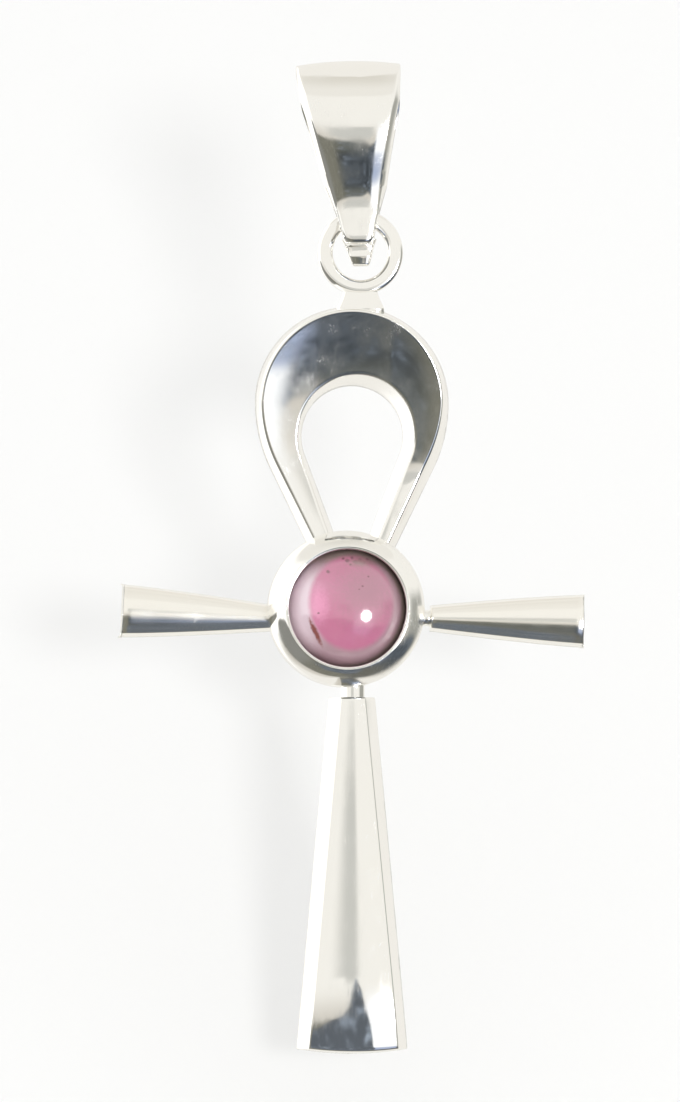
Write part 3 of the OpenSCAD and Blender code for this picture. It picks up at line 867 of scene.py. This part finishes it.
# The paper is clear from behind, so the pendant can be looked at from any side
paper = bpy.data.materials.new("pale paper")
paper.use_nodes = True
nodes, link = paper.node_tree.nodes, paper.node_tree.links.new
nodes.clear()
surface = nodes.new("ShaderNodeOutputMaterial")
matt = nodes.new("ShaderNodeBsdfDiffuse")
matt.inputs["Color"].default_value = (*PAPER, 1)
clear = nodes.new("ShaderNodeBsdfTransparent")
facing = nodes.new("ShaderNodeNewGeometry")
one_sided = nodes.new("ShaderNodeMixShader")
link(facing.outputs["Backfacing"], one_sided.inputs["Fac"])
link(matt.outputs[0], one_sided.inputs[1])
link(clear.outputs[0], one_sided.inputs[2])
link(one_sided.outputs[0], surface.inputs["Surface"])
sweep_mesh.materials.append(paper)

# The sky is painted by direction, for what the silver mirrors; the paper gets a plain one
DEGREES = 57.2958
PLAIN_SKY = (0.97, 0.97, 0.965)
SKY_LOW, SKY_MIDDLE = (0.66, 0.63, 0.57), (0.93, 0.915, 0.865)
SKY_HIGH, SKY_TOP = (0.86, 0.84, 0.785), (0.73, 0.705, 0.64)
SKY_BEHIND = (0.90, 0.88, 0.83)
SKY_LEFT, SKY_RIGHT = (1.25, 1.25, 1.22), (0.38, 0.38, 0.345)
DARK_MIDDLE, DARK_RIGHT = (0.137, 0.142, 0.123), (0.095, 0.11, 0.127)
DARK_FLOOR, DARK_CORE = (0.125, 0.12, 0.095), (0.052, 0.060, 0.068)
CLOUD_BLUE, CLOUD_WARM = (0.25, 0.295, 0.36), (0.21, 0.205, 0.175)
OLIVE, OLIVE_CLOUD = (0.18, 0.178, 0.145), (0.30, 0.295, 0.25)
FLOOR_LEFT = (0.26, 0.26, 0.24)
FRINGE_BLUE, FRINGE_WHITE = (0.42, 0.49, 0.66), (1.1, 1.12, 1.14)
WINDOW_WAY, WINDOW_LIGHT = (0.573, -0.788, -0.225), (22, 22, 22)

world = bpy.data.worlds.new("soft studio")
bpy.context.scene.world = world
world.use_nodes = True
nodes, link = world.node_tree.nodes, world.node_tree.links.new
nodes.clear()
sky_out = nodes.new("ShaderNodeOutputWorld")
sky_light = nodes.new("ShaderNodeBackground")
link(sky_light.outputs[0], sky_out.inputs["Surface"])
way = nodes.new("ShaderNodeTexCoord").outputs["Generated"]
split = nodes.new("ShaderNodeSeparateXYZ")
link(way, split.inputs[0])


def sky_maths(kind, a, b=0.0):
    """One maths node on numbers or sockets."""
    node = nodes.new("ShaderNodeMath")
    node.operation = kind
    for socket, value in zip(node.inputs, (a, b)):
        if isinstance(value, (int, float)):
            socket.default_value = value
        else:
            link(value, socket)
    return node.outputs[0]


def sky_step(value, low, high):
    """Mask that fades in from low to high."""
    node = nodes.new("ShaderNodeMapRange")
    node.interpolation_type = "SMOOTHSTEP"
    link(value, node.inputs["Value"])
    node.inputs["From Min"].default_value = low
    node.inputs["From Max"].default_value = high
    return node.outputs["Result"]


def sky_band(value, low, full, end, out):
    """Mask that fades in from low to full and out again from end to out."""
    fade_out = sky_step(sky_maths("MULTIPLY", value, -1), -out, -end)
    return sky_maths("MULTIPLY", sky_step(value, low, full), fade_out)


def sky_noise(scale, detail, roughness=0.5):
    """Noise over the directions of the sky."""
    node = nodes.new("ShaderNodeTexNoise")
    link(way, node.inputs["Vector"])
    node.inputs["Scale"].default_value = scale
    node.inputs["Detail"].default_value = detail
    node.inputs["Roughness"].default_value = roughness
    return node.outputs["Fac"]


# Degrees to the right of straight ahead, and degrees up, as the pendant's front sees them
turn = sky_maths("ARCTAN2", split.outputs[0], sky_maths("MULTIPLY", split.outputs[1], -1))
turn = sky_maths("MULTIPLY", turn, DEGREES)
rise = sky_maths("MULTIPLY", sky_maths("ARCSINE", split.outputs[2]), DEGREES)
down = sky_maths("MULTIPLY", rise, -1)

# The pale part: brighter on the left, a dim patch on the far right
sky = tint(SKY_LOW, sky_step(rise, -22, 2), SKY_MIDDLE)
sky = tint(sky, sky_step(rise, 45, 49), SKY_HIGH)
sky = tint(sky, sky_step(rise, 58, 88), SKY_TOP)
sky = tint(sky, sky_step(sky_maths("ABSOLUTE", turn), 128, 150), SKY_BEHIND)
left = sky_maths("MULTIPLY", sky_band(turn, -175, -155, -66, -48), sky_band(rise, -32, -12, 38, 50))
sky = tint(sky, left, SKY_LEFT)
right = sky_maths("MULTIPLY", sky_band(turn, 62, 78, 118, 140), sky_band(rise, -45, -30, 6, 17))
sky = tint(sky, right, SKY_RIGHT)

# The dark part in front: its uneven upper edge, then its tones from side to side and down
edge = sky_maths("MULTIPLY", sky_band(turn, 14, 30, 60, 100), -8)
edge = sky_maths("ADD", edge, sky_maths("MULTIPLY", sky_band(turn, -112, -92, -72, -48), 10))
edge = sky_maths("ADD", edge, sky_maths("MULTIPLY", sky_band(turn, -3, 4, 8, 14), -5))
edge = sky_maths("ADD", edge, sky_maths("MULTIPLY", sky_noise(9, 3), 5))
below = sky_step(sky_maths("SUBTRACT", edge, rise), 20.0, 24.5)
below = sky_maths("MULTIPLY", below, sky_band(turn, -122, -98, 108, 132))
mottle = sky_noise(34, 8, 0.65)
cloudy = sky_maths("MULTIPLY", below, sky_step(mottle, 0.47, 0.66))
olive = sky_step(sky_maths("MULTIPLY", turn, -1), 2, 16)
floor_left = sky_maths("MULTIPLY", below, sky_band(turn, -140, -100, -60, -40))
for mask, within, color in (
    (below, None, DARK_MIDDLE),
    (below, sky_step(turn, -6, 12), DARK_RIGHT),
    (below, sky_step(down, 48, 60), DARK_FLOOR),
    (below, sky_band(rise, -58, -50, -33, -25), DARK_CORE),
    (cloudy, sky_step(turn, -30, 12), CLOUD_BLUE),
    (cloudy, sky_step(down, 40, 55), CLOUD_WARM),
    (below, olive, OLIVE),
    (cloudy, olive, OLIVE_CLOUD),
    (floor_left, sky_step(rise, -60, -45), FLOOR_LEFT),
):
    sky = tint(sky, mask if within is None else sky_maths("MULTIPLY", mask, within), color)

# The dark part's blue and white fringe on the right, scuffed by the wear of the silver
scuffs = sky_maths("MULTIPLY", sky_maths("SUBTRACT", sky_noise(110, 6, 0.7), 0.5), 24)
ragged = sky_maths("ADD", turn, scuffs)
blue = sky_maths("MULTIPLY", sky_band(ragged, 11.5, 16, 44, 58), sky_band(rise, -51, -43, -24, -14))
sky = tint(sky, blue, FRINGE_BLUE)
halo = sky_maths("MULTIPLY", sky_band(ragged, 10.5, 15.5, 50, 60), sky_band(rise, -36, -28, -14, 4))
sky = tint(sky, halo, FRINGE_WHITE)

# A small bright window, for the glint on the stone
window_way = nodes.new("ShaderNodeVectorMath")
window_way.operation = "DOT_PRODUCT"
link(way, window_way.inputs[0])
window_way.inputs[1].default_value = WINDOW_WAY
window = sky_step(window_way.outputs["Value"], 0.981, 0.991)
seen = nodes.new("ShaderNodeLightPath")
mirrored = sky_maths("MAXIMUM", seen.outputs["Is Glossy Ray"], seen.outputs["Is Transmission Ray"])
not_through = sky_maths("SUBTRACT", 1, seen.outputs["Is Transmission Ray"])
sky = tint(sky, sky_maths("MULTIPLY", window, not_through), WINDOW_LIGHT)
link(tint(PLAIN_SKY, mirrored, sky), sky_light.inputs["Color"])

# Two cards in front that are only seen mirrored, in the shaft: a dark one with a peak in its
# upper edge, and behind it a grey one with soft edges. Their outlines are in millimetres.
CARD_DARK, CARD_FOLD, CARD_GREY = (0.115, 0.13, 0.15), (0.36, 0.42, 0.50), (0.60, 0.60, 0.565)
DARK_CARD_LINE = (
    (-16, -48.2), (-13.1, -47), (-6, -43.8), (-2.4, -42.9), (-0.7, -41.2), (0.1, -37.9),
    (1.1, -35.6), (2.6, -37.9), (3.5, -41), (5.3, -44.6), (8, -52.4), (8, -70), (-16, -70),
)
GREY_CARD_LINE = ((-45, -42), (32, -42), (32, -8), (-45, -8))
for name, distance, line in (
    ("dark_card", 15.0, DARK_CARD_LINE), ("grey_card", 90.0, GREY_CARD_LINE),
):
    mesh = bpy.data.meshes.new(name)
    mesh.from_pydata([(x * MM, -distance * MM, z * MM) for x, z in line], [],
                     [tuple(range(len(line)))])
    card = bpy.data.objects.new(name, mesh)
    bpy.context.scene.collection.objects.link(card)
    card.visible_camera = card.visible_diffuse = False
    card.visible_shadow = card.visible_transmission = False
    card_paint = bpy.data.materials.new(name)
    card_paint.use_nodes = True
    nodes, link = card_paint.node_tree.nodes, card_paint.node_tree.links.new
    nodes.clear()
    card_out = nodes.new("ShaderNodeOutputMaterial")
    glow = nodes.new("ShaderNodeEmission")
    mesh.materials.append(card_paint)
    place = nodes.new("ShaderNodeTexCoord").outputs["Object"]
    if name == "dark_card":
        folds = nodes.new("ShaderNodeTexNoise")
        link(place, folds.inputs["Vector"])
        folds.inputs["Scale"].default_value = 420
        folds.inputs["Detail"].default_value = 4
        dark = tint(CARD_DARK, sky_step(folds.outputs["Fac"], 0.45, 0.8), CARD_FOLD)
        link(dark, glow.inputs["Color"])
        link(glow.outputs[0], card_out.inputs["Surface"])
        continue
    glow.inputs["Color"].default_value = (*CARD_GREY, 1)
    split = nodes.new("ShaderNodeSeparateXYZ")
    link(place, split.inputs[0])
    across = sky_band(split.outputs[0], -42 * MM, -6 * MM, 4 * MM, 17 * MM)
    along = sky_band(split.outputs[2], -40 * MM, -26 * MM, -12.5 * MM, -9 * MM)
    # Its lower part is left in a narrow beam only
    low = sky_step(sky_maths("MULTIPLY", split.outputs[2], -1), 25 * MM, 30 * MM)
    beam = sky_band(split.outputs[0], -15 * MM, -5 * MM, 3 * MM, 9 * MM)
    kept = sky_maths("SUBTRACT", 1, sky_maths("MULTIPLY", low, sky_maths("SUBTRACT", 1, beam)))
    soft = nodes.new("ShaderNodeMixShader")
    link(sky_maths("MULTIPLY", sky_maths("MULTIPLY", across, along), kept), soft.inputs["Fac"])
    link(nodes.new("ShaderNodeBsdfTransparent").outputs[0], soft.inputs[1])
    link(glow.outputs[0], soft.inputs[2])
    link(soft.outputs[0], card_out.inputs["Surface"])

LAMP_D = 62
LAMP_PLACE, LAMP_AIM = Vector((62, -480, -27)) * MM, Vector((0, 0, -20)) * MM
lamp_light = bpy.data.lights.new("soft lamp", "AREA")
lamp_light.shape = "DISK"
lamp_light.size = LAMP_D * MM
lamp_light.energy = 0.41
lamp = bpy.data.objects.new("soft lamp", lamp_light)
bpy.context.scene.collection.objects.link(lamp)
lamp.location = LAMP_PLACE
lamp.rotation_euler = (LAMP_PLACE - LAMP_AIM).to_track_quat("Z", "Y").to_euler()
lamp.visible_glossy = False
lamp.visible_transmission = False

SENSOR_W = 36
CAMERA_FAR = 280.0
FRAME_H = 45.18
CAMERA_TURN, CAMERA_RISE = math.radians(-2.5), math.radians(-2.0)
CAMERA_AIM = Vector((-0.53, 0, -19.55)) * MM
camera_data = bpy.data.cameras.new("camera")
camera_data.sensor_width = SENSOR_W
camera_data.lens = SENSOR_W * CAMERA_FAR / FRAME_H
camera_data.clip_start, camera_data.clip_end = 0.01, 10
camera = bpy.data.objects.new("camera", camera_data)
bpy.context.scene.collection.objects.link(camera)
camera_way = Vector((math.sin(CAMERA_TURN) * math.cos(CAMERA_RISE),
                     -math.cos(CAMERA_TURN) * math.cos(CAMERA_RISE), math.sin(CAMERA_RISE)))
camera.location = CAMERA_AIM + CAMERA_FAR * MM * camera_way
camera.rotation_euler = (camera.location - CAMERA_AIM).to_track_quat("Z", "Y").to_euler()
bpy.context.scene.camera = camera
bpy.context.scene.view_settings.view_transform = "Standard"
